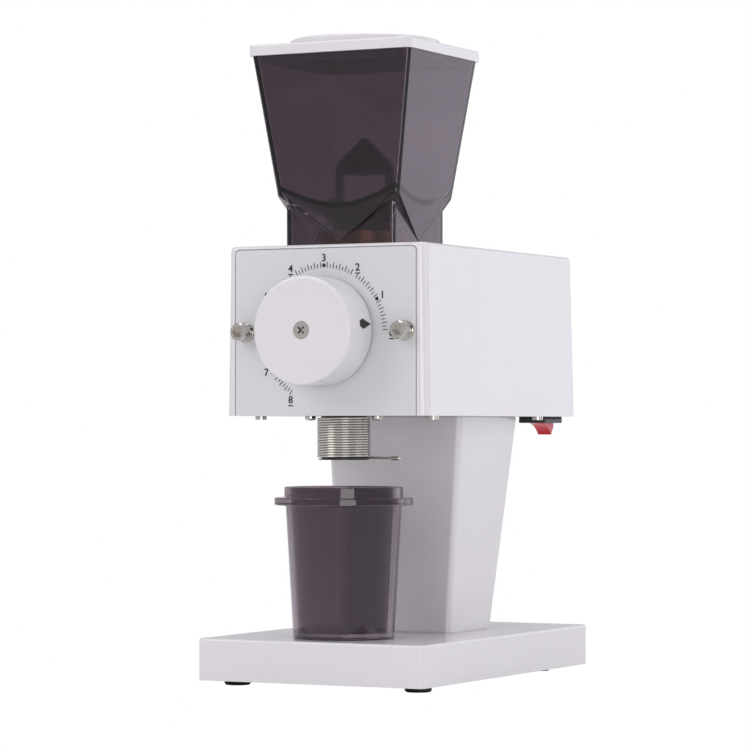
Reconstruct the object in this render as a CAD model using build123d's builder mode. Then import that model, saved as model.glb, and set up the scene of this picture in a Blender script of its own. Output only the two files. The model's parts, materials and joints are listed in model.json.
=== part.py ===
from build123d import *
import math
import os

os.makedirs("parts", exist_ok=True)

# Compact flat burr coffee grinder. Millimetres, +Z up, the front faces -Y.
# The origin lies under the middle of the whole object, on the surface it stands on.

# ---------------------------------------------------------------- driving dimensions
# General fits
slip = 0.2  # gap between fixed pieces that slide together
running = 0.05  # radial clearance of anything that turns or slides in a bore
thread_slip = 0.05  # radial clearance of a screw in its plain bore

# Base, feet and base cover
base_width = 123.0
base_depth = 191.0
base_height = 20.4
base_corner = 3.2
base_edge = 1.2
base_wall = 4.0
foot_height = 3.0
foot_radius = 6.5
foot_bevel = 0.8
foot_inset_x = 12.0
rear_foot_inset_x = 20.0
foot_inset_y = 19.0
cover_sheet = 2.0

# Column
column_height = 108.1
column_setback = 72.4  # column front behind the housing front
column_width_low = 63.0
column_width_high = 76.0
column_depth_low = 48.0
column_depth_high = 66.6
column_corner = 3.2
column_wall = 3.0
column_flange = 6.0
column_joint = 0.5  # shadow gap where the column meets the base and the housing

# Housing
housing_setback = 16.8  # housing front behind the base front
housing_width_low = 110.2
housing_width_high = 107.6
housing_height = 82.8
housing_rear_draft = 2.0
housing_corner = 4.8
housing_edge = 2.0
housing_wall = 3.0
floor_sheet = 2.0
front_web = 2.4  # housing front left behind the plate's recess

# Front plate
plate_thickness = 1.6
plate_width = 98.6
plate_top_margin = 2.0
plate_corner = 2.0
plate_gap = 0.5

# Grinding axis and knob
axis_height = 40.7  # above the housing's underside
knob_radius = 26.2
knob_length = 22.4
knob_gap = 1.2
knob_wall = 2.6
knob_edge = 1.6
knob_boss_radius = 9.0
spindle_radius = 5.0
spindle_nose_radius = 4.0

# Socket screws that clamp the plate, the housing and the burr chamber together
clamp_screw_offset = 43.7
clamp_screw_radius = 2.5
clamp_head_radius = 4.4
clamp_head_height = 5.2
clamp_socket_flats = 5.0
flat_washer_radius = 4.9
flat_washer_thickness = 1.2
lock_washer_radius = 4.6
lock_washer_thickness = 1.6
lock_washer_split = 0.9

# Burrs and burr chamber
burr_radius = 20.0
burr_bore = 12.0
burr_thickness = 4.6
burr_rest_gap = 0.4
burr_teeth = 24
cavity_radius = 26.0
chamber_wall = 7.0
cover_ledge = 5.0
chamber_cover_thickness = 5.0
carrier_room = 2.0
carrier_thickness = 4.0
carrier_hub_radius = 6.0
carrier_hub_length = 12.0
feed_travel = 1.0
tunnel_radius = 12.0
tunnel_wall = 5.0
tunnel_length = 31.4
auger_core = 5.6
auger_pitch = 14.0
auger_blade = 1.8
rear_flange = 5.0
ear_half_height = 8.0
ear_thickness = 6.0

# Feed throat and hopper seat
hopper_setback = 42.2  # hopper axis behind the housing front
throat_bore = 13.0
throat_wall = 4.0
collar_radius = 21.5
collar_bore = 14.0
collar_stand = 8.2

# Motor
motor_radius = 34.0
shaft_radius = 4.0
bearing_radius = 11.0
bearing_width = 7.0
bell_web = 9.0
bell_rim = 9.0
bell_shell = 5.0
stator_length = 36.0
stator_bore = 20.5
air_gap = 0.5
slot_count = 12
bolt_circle = 31.5
bolt_radius = 1.75
winding_length = 7.0
fan_radius = 30.0
fan_width = 6.0
fan_blades = 9

# Chute
chute_setback = 19.8  # chute axis behind the housing front
chute_drop = 21.4
chute_bore = 9.6
chute_wall = 1.4
chute_flange_width = 48.0
chute_flange_depth = 24.0
chute_flange_sheet = 2.5
chute_screw_offset = 18.5
chute_screw_radius = 1.5
chute_head_radius = 2.7
chute_head_height = 2.2
spring_wire = 0.6
spring_radius = 12.5
spring_turns = 16
spring_tail = 20.5

# Dosing cup
cup_collar_radius = 29.0
cup_collar_height = 5.2
cup_flange_radius = 33.8
cup_flange_height = 3.7
cup_body_top_radius = 28.3
cup_body_low_radius = 24.65
cup_height = 73.6
cup_wall = 2.4
cup_floor = 3.0

# Hopper, guard and lid
hopper_wall = 2.5
hopper_corner = 2.0
hopper_top_width = 86.8
hopper_top_depth = 74.0
hopper_low_width = 67.2
hopper_low_depth = 59.8
hopper_body_height = 67.2
neck_width = 60.0
neck_depth = 54.2
neck_height = 25.3
crease_height = 0.6  # lowest point of the creases above the neck's end
gasket_thickness = 0.8
funnel_slope = 0.58
funnel_wall = 2.0
funnel_drop = 5.2  # length of the funnel's spout
guard_radius = 13.8
guard_rise = 12.3
guard_skirt = 5.0
guard_wall = 1.5
guard_lift = 23.4  # skirt above the funnel's lip
guard_leg_width = 3.0
guard_leg_thickness = 1.8
lid_width = 89.1
lid_depth = 78.4
lid_thickness = 5.3
lid_corner = 3.2
lid_edge = 0.9
lid_disc_radius = 36.9
lid_disc_height = 3.4
lid_wall = 2.2
lid_skirt_drop = 3.0

# Rocker switch
switch_x = 41.0
switch_setback = 160.0
bezel_width = 15.0
bezel_length = 22.0
bezel_thickness = 2.0
switch_gasket_thickness = 1.3
switch_body_width = 13.2
switch_body_length = 20.8
switch_body_height = 14.0
switch_room_width = 8.0
switch_room_length = 19.5
switch_room_depth = 8.8
rocker_width = 7.4
rocker_half_length = 9.1
rocker_tip_half = 7.9
rocker_tip_drop = 5.35
rocker_dish = 1.9
rocker_top_half = 6.4
rocker_top = 3.6
rocker_tilt = 23.0
rocker_pivot_height = 2.0  # above the bezel's face
rocker_pin_radius = 1.2
rocker_pin_reach = 5.6

# Run capacitor
capacitor_radius = 12.0
capacitor_length = 46.0
capacitor_x = -18.0

# Cable gland
gland_flange = 1.8
gland_flange_radius = 8.5
gland_barrel_radius = 5.0
gland_bore = 3.6
gland_nut_height = 4.0
gland_nut_flats = 13.0

# ---------------------------------------------------------------- places worked out
knob_overhang = knob_gap + knob_length - housing_setback
base_front = (knob_overhang - base_depth - gland_flange) / 2
base_back = base_front + base_depth
base_mid = (base_front + base_back) / 2
base_top = foot_height + base_height

housing_front = base_front + housing_setback
housing_back = base_back
housing_bottom = base_top + column_height
housing_top = housing_bottom + housing_height
housing_depth_low = housing_back - housing_front
housing_depth_high = housing_depth_low - housing_rear_draft
housing_ceiling = housing_top - housing_wall
floor_top = housing_bottom + floor_sheet

column_front = housing_front + column_setback
axis_z = housing_bottom + axis_height
hopper_y = housing_front + hopper_setback
chute_y = housing_front + chute_setback
switch_y = housing_front + switch_setback

# Depths along the grinding axis, counted backwards from the housing's front face
front_inner = plate_thickness + front_web
cover_back = front_inner + chamber_cover_thickness
carrier_front = cover_back + carrier_room
moving_burr_front = carrier_front + carrier_thickness
fixed_burr_front = moving_burr_front + burr_thickness + burr_rest_gap
cavity_back = fixed_burr_front + burr_thickness
tunnel_back = cavity_back + tunnel_length
chamber_back = tunnel_back + rear_flange
hub_back = carrier_front + carrier_hub_length
stator_front = chamber_back + bell_web + bell_rim
stator_back = stator_front + stator_length
motor_back = stator_back + bell_rim + bell_web


def axial(depth):
    """Plane square to the grinding axis, this far behind the housing front, facing back."""
    return Plane(origin=(0, housing_front + depth, axis_z), x_dir=(1, 0, 0), z_dir=(0, 1, 0))


def facing(depth):
    """The same plane turned to face forwards, for holes sunk from the front."""
    return Plane(origin=(0, housing_front + depth, axis_z), x_dir=(1, 0, 0), z_dir=(0, -1, 0))


def between(low, high, share):
    """Value that lies at this share of the way from low to high."""
    return low + (high - low) * share


# ---------------------------------------------------------------- base and feet
foot_x = base_width / 2 - foot_inset_x
rear_foot_x = base_width / 2 - rear_foot_inset_x
foot_places = [
    (-foot_x, base_front + foot_inset_y),
    (foot_x, base_front + foot_inset_y),
    (-rear_foot_x, base_back - foot_inset_y),
    (rear_foot_x, base_back - foot_inset_y),
]
foot_screw_radius = 1.9
foot_head_radius = 3.6
foot_head_height = 1.8
foot_head_recess = 0.6
foot_screw_end = foot_height + cover_sheet + 9.0
boss_radius = 6.0
base_cover_gap = 0.3
column_screw_radius = 2.0
column_head_radius = 3.5
column_head_height = 2.6
wire_hole_radius = 7.0
column_low_screws = [
    (x, column_front + y) for x in (-20.0, 20.0) for y in (10.0, column_depth_low - 10.0)
]
gland_height = foot_height + 9.2
wire_hole_y = column_front + column_depth_low / 2

with BuildPart() as base_shell:
    with BuildSketch(Plane.XY.offset(foot_height)):
        with Locations((0, base_mid)):
            RectangleRounded(base_width, base_depth, base_corner)
    extrude(amount=base_height)
    fillet(base_shell.faces().sort_by(Axis.Z)[-1].edges(), base_edge)
    with BuildSketch(Plane.XY.offset(foot_height)):
        with Locations((0, base_mid)):
            Rectangle(base_width - 2 * base_wall, base_depth - 2 * base_wall)
    extrude(amount=base_height - base_wall, mode=Mode.SUBTRACT)
    with BuildSketch(Plane.XY.offset(foot_height + cover_sheet)):
        with Locations(*foot_places):
            Circle(boss_radius)
    extrude(amount=base_height - cover_sheet - base_edge)
    with BuildSketch(Plane.XY.offset(foot_height)):
        with Locations(*foot_places):
            Circle(foot_screw_radius + thread_slip)
    extrude(amount=foot_screw_end - foot_height + 1.0, mode=Mode.SUBTRACT)
    with BuildSketch(Plane.XY.offset(base_top - base_wall)):
        with Locations(*column_low_screws):
            Circle(column_screw_radius + slip)
        with Locations((0, wire_hole_y)):
            Circle(wire_hole_radius)
    extrude(amount=base_wall, mode=Mode.SUBTRACT)
    with BuildSketch(Plane(origin=(0, base_back, gland_height), x_dir=(1, 0, 0), z_dir=(0, -1, 0))):
        Circle(gland_barrel_radius + slip)
    extrude(amount=base_wall, mode=Mode.SUBTRACT)
base_shell.part.label = "base_shell"
export_step(base_shell.part, "parts/base_shell.step")

with BuildPart() as base_cover:
    with BuildSketch(Plane.XY.offset(foot_height)):
        with Locations((0, base_mid)):
            Rectangle(
                base_width - 2 * (base_wall + base_cover_gap),
                base_depth - 2 * (base_wall + base_cover_gap),
            )
        with Locations(*foot_places):
            Circle(foot_screw_radius + slip, mode=Mode.SUBTRACT)
    extrude(amount=cover_sheet)
base_cover.part.label = "base_cover"
export_step(base_cover.part, "parts/base_cover.step")

with BuildPart() as rubber_feet:
    with BuildSketch():
        with Locations(*foot_places):
            Circle(foot_radius)
    extrude(amount=foot_height)
    chamfer(rubber_feet.edges().group_by(Axis.Z)[0], foot_bevel)
    with BuildSketch():
        with Locations(*foot_places):
            Circle(foot_screw_radius + slip)
    extrude(amount=foot_height, mode=Mode.SUBTRACT)
    with BuildSketch():
        with Locations(*foot_places):
            Circle(foot_head_radius + slip)
    extrude(amount=foot_head_recess + foot_head_height, mode=Mode.SUBTRACT)
rubber_feet.part.label = "rubber_feet"
export_step(rubber_feet.part, "parts/rubber_feet.step")

with BuildPart() as foot_screws:
    with BuildSketch(Plane.XY.offset(foot_head_recess)):
        with Locations(*foot_places):
            Circle(foot_head_radius)
    extrude(amount=foot_head_height)
    with BuildSketch(Plane.XY.offset(foot_head_recess)):
        with Locations(*foot_places):
            Circle(foot_screw_radius)
    extrude(amount=foot_screw_end - foot_head_recess)
    with BuildSketch(Plane.XY.offset(foot_head_recess)):
        with Locations(*foot_places):
            Rectangle(foot_head_radius, 0.7)
            Rectangle(0.7, foot_head_radius)
    extrude(amount=1.0, mode=Mode.SUBTRACT)
foot_screws.part.label = "foot_screws"
export_step(foot_screws.part, "parts/foot_screws.step")

# ---------------------------------------------------------------- column
column_inner_low = base_top + column_joint + column_flange
column_inner_high = housing_bottom - column_joint - column_flange
column_high_screws = [
    (x, column_front + y) for x in (-28.0, 28.0) for y in (10.0, column_depth_high - 12.0)
]
column_wire_x = -22.0


def column_section(height, inset):
    """The column's rounded section at this height, taken in by inset all round."""
    share = (height - base_top) / column_height
    width = between(column_width_low, column_width_high, share)
    depth = between(column_depth_low, column_depth_high, share)
    with BuildSketch(Plane.XY.offset(height)) as section:
        with Locations((0, column_front + depth / 2)):
            RectangleRounded(
                width - 2 * inset, depth - 2 * inset, max(column_corner - inset, 0.8)
            )
    return section.sketch


with BuildPart() as column:
    loft(
        [
            column_section(base_top + column_joint, 0),
            column_section(housing_bottom - column_joint, 0),
        ]
    )
    loft(
        [
            column_section(column_inner_low, column_wall),
            column_section(column_inner_high, column_wall),
        ],
        mode=Mode.SUBTRACT,
    )
    # the plinths that carry the column leave a thin shadow gap at both ends
    extrude(column_section(base_top, column_joint), amount=column_joint)
    extrude(column_section(housing_bottom, column_joint), amount=-column_joint)
    with BuildSketch(Plane.XY.offset(base_top)):
        with Locations(*column_low_screws):
            Circle(column_screw_radius + thread_slip)
        with Locations((0, wire_hole_y)):
            Circle(wire_hole_radius)
    extrude(amount=column_joint + column_flange, mode=Mode.SUBTRACT)
    with BuildSketch(Plane.XY.offset(column_inner_high)):
        with Locations(*column_high_screws):
            Circle(column_screw_radius + thread_slip)
        with Locations((column_wire_x, wire_hole_y + 10.0)):
            Circle(wire_hole_radius - 1.0)
    extrude(amount=column_joint + column_flange, mode=Mode.SUBTRACT)
column.part.label = "column"
export_step(column.part, "parts/column.step")

with BuildPart() as column_base_screws:
    with BuildSketch(Plane.XY.offset(base_top - base_wall - column_head_height)):
        with Locations(*column_low_screws):
            Circle(column_head_radius)
    extrude(amount=column_head_height)
    with BuildSketch(Plane.XY.offset(base_top - base_wall)):
        with Locations(*column_low_screws):
            Circle(column_screw_radius)
    extrude(amount=base_wall + column_flange)
    with BuildSketch(Plane.XY.offset(base_top - base_wall - column_head_height)):
        with Locations(*column_low_screws):
            RegularPolygon(1.7, 6)
    extrude(amount=1.5, mode=Mode.SUBTRACT)
column_base_screws.part.label = "column_base_screws"
export_step(column_base_screws.part, "parts/column_base_screws.step")

with BuildPart() as column_top_screws:
    with BuildSketch(Plane.XY.offset(floor_top)):
        with Locations(*column_high_screws):
            Circle(column_head_radius)
    extrude(amount=column_head_height)
    with BuildSketch(Plane.XY.offset(floor_top - floor_sheet - column_flange)):
        with Locations(*column_high_screws):
            Circle(column_screw_radius)
    extrude(amount=floor_sheet + column_flange)
    with BuildSketch(Plane.XY.offset(floor_top + column_head_height - 1.5)):
        with Locations(*column_high_screws):
            RegularPolygon(1.7, 6)
    extrude(amount=1.5, mode=Mode.SUBTRACT)
column_top_screws.part.label = "column_top_screws"
export_step(column_top_screws.part, "parts/column_top_screws.step")

# ---------------------------------------------------------------- housing and its floor
floor_gap = 0.2
floor_screw_radius = 1.5
floor_head_radius = 2.8
floor_head_height = 1.8
block_width = 9.0
block_height = 14.0
block_x = housing_width_low / 2 - housing_wall - block_width / 2
floor_screws_at = [
    (x, housing_front + depth) for x in (-block_x, block_x) for depth in (22.0, 142.0)
]
knob_hole_radius = spindle_radius + 1.0
top_hole_radius = collar_radius + 0.5


def housing_section(height, inset):
    """The housing's rounded section at this height, taken in by inset all round."""
    share = (height - housing_bottom) / housing_height
    width = between(housing_width_low, housing_width_high, share)
    depth = between(housing_depth_low, housing_depth_high, share)
    with BuildSketch(Plane.XY.offset(height)) as section:
        with Locations((0, housing_front + depth / 2)):
            RectangleRounded(
                width - 2 * inset, depth - 2 * inset, max(housing_corner - inset, 0.8)
            )
    return section.sketch


with BuildPart() as housing_shell:
    loft([housing_section(housing_bottom, 0), housing_section(housing_top, 0)])
    fillet(housing_shell.faces().sort_by(Axis.Z)[-1].edges(), housing_edge)
    loft(
        [
            housing_section(housing_bottom, housing_wall),
            housing_section(housing_ceiling, housing_wall),
        ],
        mode=Mode.SUBTRACT,
    )
    # the front wall is thicker, for the plate's recess
    with BuildSketch(axial(housing_wall - 0.5)):
        with Locations((0, axis_height / 2 - (housing_height - axis_height - housing_wall) / 2)):
            Rectangle(
                housing_width_high - 2 * housing_wall, housing_height - housing_wall
            )
    extrude(amount=front_inner - housing_wall + 0.5)
    with BuildSketch(axial(0)):
        with BuildLine():
            half = plate_width / 2 + plate_gap
            top = axis_height - housing_height + plate_top_margin - plate_gap
            FilletPolyline(
                (-half, axis_height),
                (-half, top),
                (half, top),
                (half, axis_height),
                radius=plate_corner + plate_gap,
            )
            Line((half, axis_height), (-half, axis_height))
        make_face()
    extrude(amount=plate_thickness, mode=Mode.SUBTRACT)
    with BuildSketch(axial(0)):
        Circle(knob_hole_radius)
        with GridLocations(2 * clamp_screw_offset, 0, 2, 1):
            Circle(clamp_screw_radius + slip)
    extrude(amount=front_inner, mode=Mode.SUBTRACT)
    # blocks in the corners take the floor's screws
    with BuildSketch(Plane.XY.offset(floor_top)):
        with Locations(*floor_screws_at):
            Rectangle(block_width + 1.0, block_width)
    extrude(amount=block_height)
    with BuildSketch(Plane.XY.offset(floor_top)):
        with Locations(*floor_screws_at):
            Circle(floor_screw_radius + thread_slip)
    extrude(amount=block_height - 2.0, mode=Mode.SUBTRACT)
    with BuildSketch(Plane.XY.offset(housing_ceiling)):
        with Locations((0, hopper_y)):
            Circle(top_hole_radius)
    extrude(amount=housing_wall, mode=Mode.SUBTRACT)
housing_shell.part.label = "housing_shell"
export_step(housing_shell.part, "parts/housing_shell.step")

with BuildPart() as housing_floor:
    with BuildSketch(Plane.XY.offset(housing_bottom)):
        floor_depth = housing_depth_high - front_inner - housing_wall - 2 * floor_gap
        with Locations((0, housing_front + front_inner + floor_gap + floor_depth / 2)):
            Rectangle(housing_width_high - 2 * housing_wall - 2 * floor_gap, floor_depth)
        with Locations(*floor_screws_at):
            Circle(floor_screw_radius + slip, mode=Mode.SUBTRACT)
        with Locations(*column_high_screws):
            Circle(column_screw_radius + slip, mode=Mode.SUBTRACT)
        with Locations((column_wire_x, wire_hole_y + 10.0)):
            Circle(wire_hole_radius - 1.0, mode=Mode.SUBTRACT)
        with Locations((0, chute_y)):
            Circle(chute_bore + chute_wall + slip, mode=Mode.SUBTRACT)
            with GridLocations(2 * chute_screw_offset, 0, 2, 1):
                Circle(chute_screw_radius + slip, mode=Mode.SUBTRACT)
        with Locations((switch_x, switch_y)):
            Rectangle(
                switch_body_width + 2 * slip, switch_body_length + 2 * slip, mode=Mode.SUBTRACT
            )
    extrude(amount=floor_sheet)
housing_floor.part.label = "housing_floor"
export_step(housing_floor.part, "parts/housing_floor.step")

with BuildPart() as floor_screws:
    with BuildSketch(Plane.XY.offset(housing_bottom - floor_head_height)):
        with Locations(*floor_screws_at):
            Circle(floor_head_radius)
    extrude(amount=floor_head_height)
    with BuildSketch(Plane.XY.offset(housing_bottom)):
        with Locations(*floor_screws_at):
            Circle(floor_screw_radius)
    extrude(amount=floor_sheet + block_height - 4.0)
    with BuildSketch(Plane.XY.offset(housing_bottom - floor_head_height)):
        with Locations(*floor_screws_at):
            Rectangle(floor_head_radius, 0.6)
            Rectangle(0.6, floor_head_radius)
    extrude(amount=1.0, mode=Mode.SUBTRACT)
floor_screws.part.label = "floor_screws"
export_step(floor_screws.part, "parts/floor_screws.step")

# ---------------------------------------------------------------- front plate and its screws
with BuildPart() as dial_plate:
    with BuildSketch(axial(0)):
        with BuildLine():
            half = plate_width / 2
            top = axis_height - housing_height + plate_top_margin
            FilletPolyline(
                (-half, axis_height),
                (-half, top),
                (half, top),
                (half, axis_height),
                radius=plate_corner,
            )
            Line((half, axis_height), (-half, axis_height))
        make_face()
        Circle(knob_hole_radius, mode=Mode.SUBTRACT)
        with GridLocations(2 * clamp_screw_offset, 0, 2, 1):
            Circle(clamp_screw_radius + slip, mode=Mode.SUBTRACT)
    extrude(amount=plate_thickness)
dial_plate.part.label = "dial_plate"
export_step(dial_plate.part, "parts/dial_plate.step")

with BuildPart() as flat_washers:
    with BuildSketch(axial(-flat_washer_thickness)):
        with GridLocations(2 * clamp_screw_offset, 0, 2, 1):
            Circle(flat_washer_radius)
            Circle(clamp_screw_radius + slip, mode=Mode.SUBTRACT)
    extrude(amount=flat_washer_thickness)
flat_washers.part.label = "flat_washers"
export_step(flat_washers.part, "parts/flat_washers.step")

lock_washer_front = -flat_washer_thickness - lock_washer_thickness
with BuildPart() as lock_washers:
    with BuildSketch(axial(lock_washer_front)):
        with GridLocations(2 * clamp_screw_offset, 0, 2, 1):
            Circle(lock_washer_radius)
            Circle(clamp_screw_radius + slip, mode=Mode.SUBTRACT)
            # the split of the spring washer
            with Locations((lock_washer_radius / 2 + 1.0, -1.2)):
                Rectangle(
                    lock_washer_radius, lock_washer_split, rotation=-25, mode=Mode.SUBTRACT
                )
    extrude(amount=lock_washer_thickness)
lock_washers.part.label = "lock_washers"
export_step(lock_washers.part, "parts/lock_washers.step")

clamp_head_front = lock_washer_front - clamp_head_height
with BuildPart() as clamp_screws:
    with BuildSketch(axial(clamp_head_front)):
        with GridLocations(2 * clamp_screw_offset, 0, 2, 1):
            Circle(clamp_head_radius)
    extrude(amount=clamp_head_height)
    chamfer(clamp_screws.edges().group_by(Axis.Y)[0], 0.45)
    with BuildSketch(axial(lock_washer_front)):
        with GridLocations(2 * clamp_screw_offset, 0, 2, 1):
            Circle(clamp_screw_radius)
    extrude(amount=front_inner + ear_thickness - lock_washer_front)
    with BuildSketch(axial(clamp_head_front)):
        with GridLocations(2 * clamp_screw_offset, 0, 2, 1):
            RegularPolygon(clamp_socket_flats / 2, 6, major_radius=False)
    extrude(amount=clamp_head_height - 1.6, mode=Mode.SUBTRACT)
clamp_screws.part.label = "clamp_screws"
export_step(clamp_screws.part, "parts/clamp_screws.step")

# ---------------------------------------------------------------- knob, spindle and pad
knob_front = -knob_gap - knob_length
knob_screw_radius = 2.0
knob_screw_head = 4.2
knob_screw_length = 13.0
nose_front = knob_front + knob_wall + 1.0
pad_radius = 4.6
pad_stem_radius = 1.5
pad_stem_length = 3.0
pad_gap = 0.1
spindle_proud = 0.5  # spindle end behind the chamber cover
spindle_back = cover_back + spindle_proud

with BuildPart() as adjusting_knob:
    with BuildSketch(axial(knob_front)):
        Circle(knob_radius)
    extrude(amount=knob_length)
    fillet(adjusting_knob.edges().group_by(Axis.Y)[0], knob_edge)
    with BuildSketch(axial(knob_front + knob_wall)):
        Circle(knob_radius - knob_wall)
        Circle(knob_boss_radius, mode=Mode.SUBTRACT)
    extrude(amount=knob_length - knob_wall, mode=Mode.SUBTRACT)
    with BuildSketch(axial(nose_front)):
        Circle(spindle_nose_radius + running)
    extrude(amount=-knob_gap - nose_front, mode=Mode.SUBTRACT)
    with Locations(facing(knob_front)):
        CounterSinkHole(
            radius=knob_screw_radius + slip,
            counter_sink_radius=knob_screw_head + slip,
            depth=nose_front - knob_front,
            counter_sink_angle=90,
        )
adjusting_knob.part.label = "adjusting_knob"
export_step(adjusting_knob.part, "parts/adjusting_knob.step")

with BuildPart() as knob_screw:
    with BuildSketch(axial(knob_front)):
        Circle(knob_screw_head)
    extrude(amount=knob_screw_head - knob_screw_radius, taper=45)
    with BuildSketch(axial(knob_front + 1.0)):
        Circle(knob_screw_radius)
    extrude(amount=knob_screw_length - 1.0)
    with BuildSketch(axial(knob_front)):
        with Locations((0, 0)):
            Rectangle(4.4, 0.9, rotation=45)
            Rectangle(4.4, 0.9, rotation=-45)
    extrude(amount=1.7, taper=8, mode=Mode.SUBTRACT)
knob_screw.part.label = "knob_screw"
export_step(knob_screw.part, "parts/knob_screw.step")

with BuildPart() as adjusting_spindle:
    with BuildSketch(axial(-knob_gap)):
        Circle(spindle_radius - running)
    extrude(amount=spindle_back + knob_gap)
    with BuildSketch(axial(nose_front)):
        Circle(spindle_nose_radius)
    extrude(amount=-knob_gap - nose_front)
    with BuildSketch(axial(nose_front)):
        Circle(knob_screw_radius + thread_slip)
    extrude(amount=knob_front + knob_screw_length + 1.0 - nose_front, mode=Mode.SUBTRACT)
    with BuildSketch(axial(spindle_back)):
        Circle(pad_stem_radius + running)
    extrude(amount=-pad_stem_length - 0.3, mode=Mode.SUBTRACT)
adjusting_spindle.part.label = "adjusting_spindle"
export_step(adjusting_spindle.part, "parts/adjusting_spindle.step")

with BuildPart() as thrust_pad:
    with BuildSketch(axial(spindle_back + pad_gap)):
        Circle(pad_radius)
    extrude(amount=carrier_room - spindle_proud - 2 * pad_gap)
    with BuildSketch(axial(spindle_back + pad_gap)):
        Circle(pad_stem_radius)
    extrude(amount=-pad_gap - pad_stem_length)
thrust_pad.part.label = "thrust_pad"
export_step(thrust_pad.part, "parts/thrust_pad.step")

# ---------------------------------------------------------------- burr chamber and its cover
drum_radius = cavity_radius + chamber_wall
drum_back_wall = 4.0
cover_screw_circle = cavity_radius + cover_ledge / 2
cover_screw_radius = 1.25
cover_screw_head = 2.3
cover_screw_length = 11.0
cover_screw_count = 4
burr_screw_circle = (burr_radius + burr_bore) / 2
burr_screw_radius = 1.5
burr_screw_head = 2.8
burr_screw_length = burr_thickness + 2.8
burr_screw_sunk = 0.3  # head below the burr's face
burr_screw_count = 3
seal_radius = 8.0
seal_width = 3.0
ear_reach = clamp_screw_offset + 6.0
port_radius = chute_bore + 3.0
port_low = floor_top + chute_flange_sheet
port_high = axis_z - tunnel_radius - 2.0
bolt_turn = 45

with BuildPart() as burr_chamber:
    with BuildSketch(axial(front_inner)):
        Circle(drum_radius)
    extrude(amount=cavity_back + drum_back_wall - front_inner)
    with BuildSketch(axial(front_inner)):
        Rectangle(2 * ear_reach, 2 * ear_half_height)
    extrude(amount=ear_thickness)
    with BuildSketch(axial(cavity_back)):
        Circle(tunnel_radius + tunnel_wall)
    extrude(amount=chamber_back - cavity_back)
    with BuildSketch(axial(tunnel_back)):
        Circle(motor_radius)
    extrude(amount=rear_flange)
    with BuildSketch(Plane.XY.offset(axis_z)):
        with Locations((0, hopper_y)):
            Circle(throat_bore + throat_wall)
    extrude(amount=housing_ceiling - axis_z)
    with BuildSketch(Plane.XY.offset(port_low)):
        with Locations((0, chute_y)):
            Circle(port_radius)
    extrude(amount=port_high - port_low)
    # hollows: cover seat, burr cavity, auger tunnel, throat and chute port
    with BuildSketch(axial(front_inner)):
        Circle(cavity_radius + cover_ledge)
    extrude(amount=chamber_cover_thickness, mode=Mode.SUBTRACT)
    with BuildSketch(axial(cover_back)):
        Circle(cavity_radius)
    extrude(amount=cavity_back - cover_back, mode=Mode.SUBTRACT)
    with BuildSketch(axial(cavity_back)):
        Circle(tunnel_radius)
    extrude(amount=tunnel_length, mode=Mode.SUBTRACT)
    with BuildSketch(Plane.XY.offset(axis_z)):
        with Locations((0, hopper_y)):
            Circle(throat_bore)
    extrude(amount=housing_ceiling - axis_z, mode=Mode.SUBTRACT)
    with BuildSketch(Plane.XY.offset(port_low)):
        with Locations((0, chute_y)):
            Circle(chute_bore)
    extrude(amount=axis_z - burr_radius - port_low, mode=Mode.SUBTRACT)
    # shaft bore and seal pocket
    with BuildSketch(axial(tunnel_back)):
        Circle(shaft_radius + 0.4)
    extrude(amount=rear_flange, mode=Mode.SUBTRACT)
    with BuildSketch(axial(chamber_back - seal_width)):
        Circle(seal_radius)
    extrude(amount=seal_width, mode=Mode.SUBTRACT)
    # screw holes
    with BuildSketch(axial(front_inner)):
        with GridLocations(2 * clamp_screw_offset, 0, 2, 1):
            Circle(clamp_screw_radius + thread_slip)
    extrude(amount=ear_thickness, mode=Mode.SUBTRACT)
    with BuildSketch(axial(cover_back)):
        with PolarLocations(cover_screw_circle, cover_screw_count, start_angle=bolt_turn):
            Circle(cover_screw_radius + thread_slip)
    extrude(amount=cover_screw_length, mode=Mode.SUBTRACT)
    with BuildSketch(axial(cavity_back)):
        with PolarLocations(burr_screw_circle, burr_screw_count):
            Circle(burr_screw_radius + thread_slip)
    extrude(amount=drum_back_wall, mode=Mode.SUBTRACT)
    with BuildSketch(axial(tunnel_back)):
        with PolarLocations(bolt_circle, 4, start_angle=bolt_turn):
            Circle(bolt_radius + thread_slip)
    extrude(amount=rear_flange, mode=Mode.SUBTRACT)
burr_chamber.part.label = "burr_chamber"
export_step(burr_chamber.part, "parts/burr_chamber.step")

with BuildPart() as chamber_cover:
    with BuildSketch(axial(front_inner)):
        Circle(cavity_radius + cover_ledge - slip)
        Circle(spindle_radius, mode=Mode.SUBTRACT)
    extrude(amount=chamber_cover_thickness)
    with Locations(facing(front_inner)):
        with PolarLocations(cover_screw_circle, cover_screw_count, start_angle=bolt_turn):
            CounterSinkHole(
                radius=cover_screw_radius + slip,
                counter_sink_radius=cover_screw_head + slip,
                counter_sink_angle=90,
            )
chamber_cover.part.label = "chamber_cover"
export_step(chamber_cover.part, "parts/chamber_cover.step")

with BuildPart() as cover_screws:
    with BuildSketch(axial(front_inner + 0.1)):
        with PolarLocations(cover_screw_circle, cover_screw_count, start_angle=bolt_turn):
            Circle(cover_screw_head)
    extrude(amount=cover_screw_head - cover_screw_radius, taper=45)
    with BuildSketch(axial(front_inner + 1.0)):
        with PolarLocations(cover_screw_circle, cover_screw_count, start_angle=bolt_turn):
            Circle(cover_screw_radius)
    extrude(amount=cover_screw_length)
cover_screws.part.label = "cover_screws"
export_step(cover_screws.part, "parts/cover_screws.step")

with BuildPart() as shaft_seal:
    with BuildSketch(axial(chamber_back - seal_width)):
        Circle(seal_radius - running)
        Circle(shaft_radius + 0.1, mode=Mode.SUBTRACT)
    extrude(amount=seal_width)
shaft_seal.part.label = "shaft_seal"
export_step(shaft_seal.part, "parts/shaft_seal.step")

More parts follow.
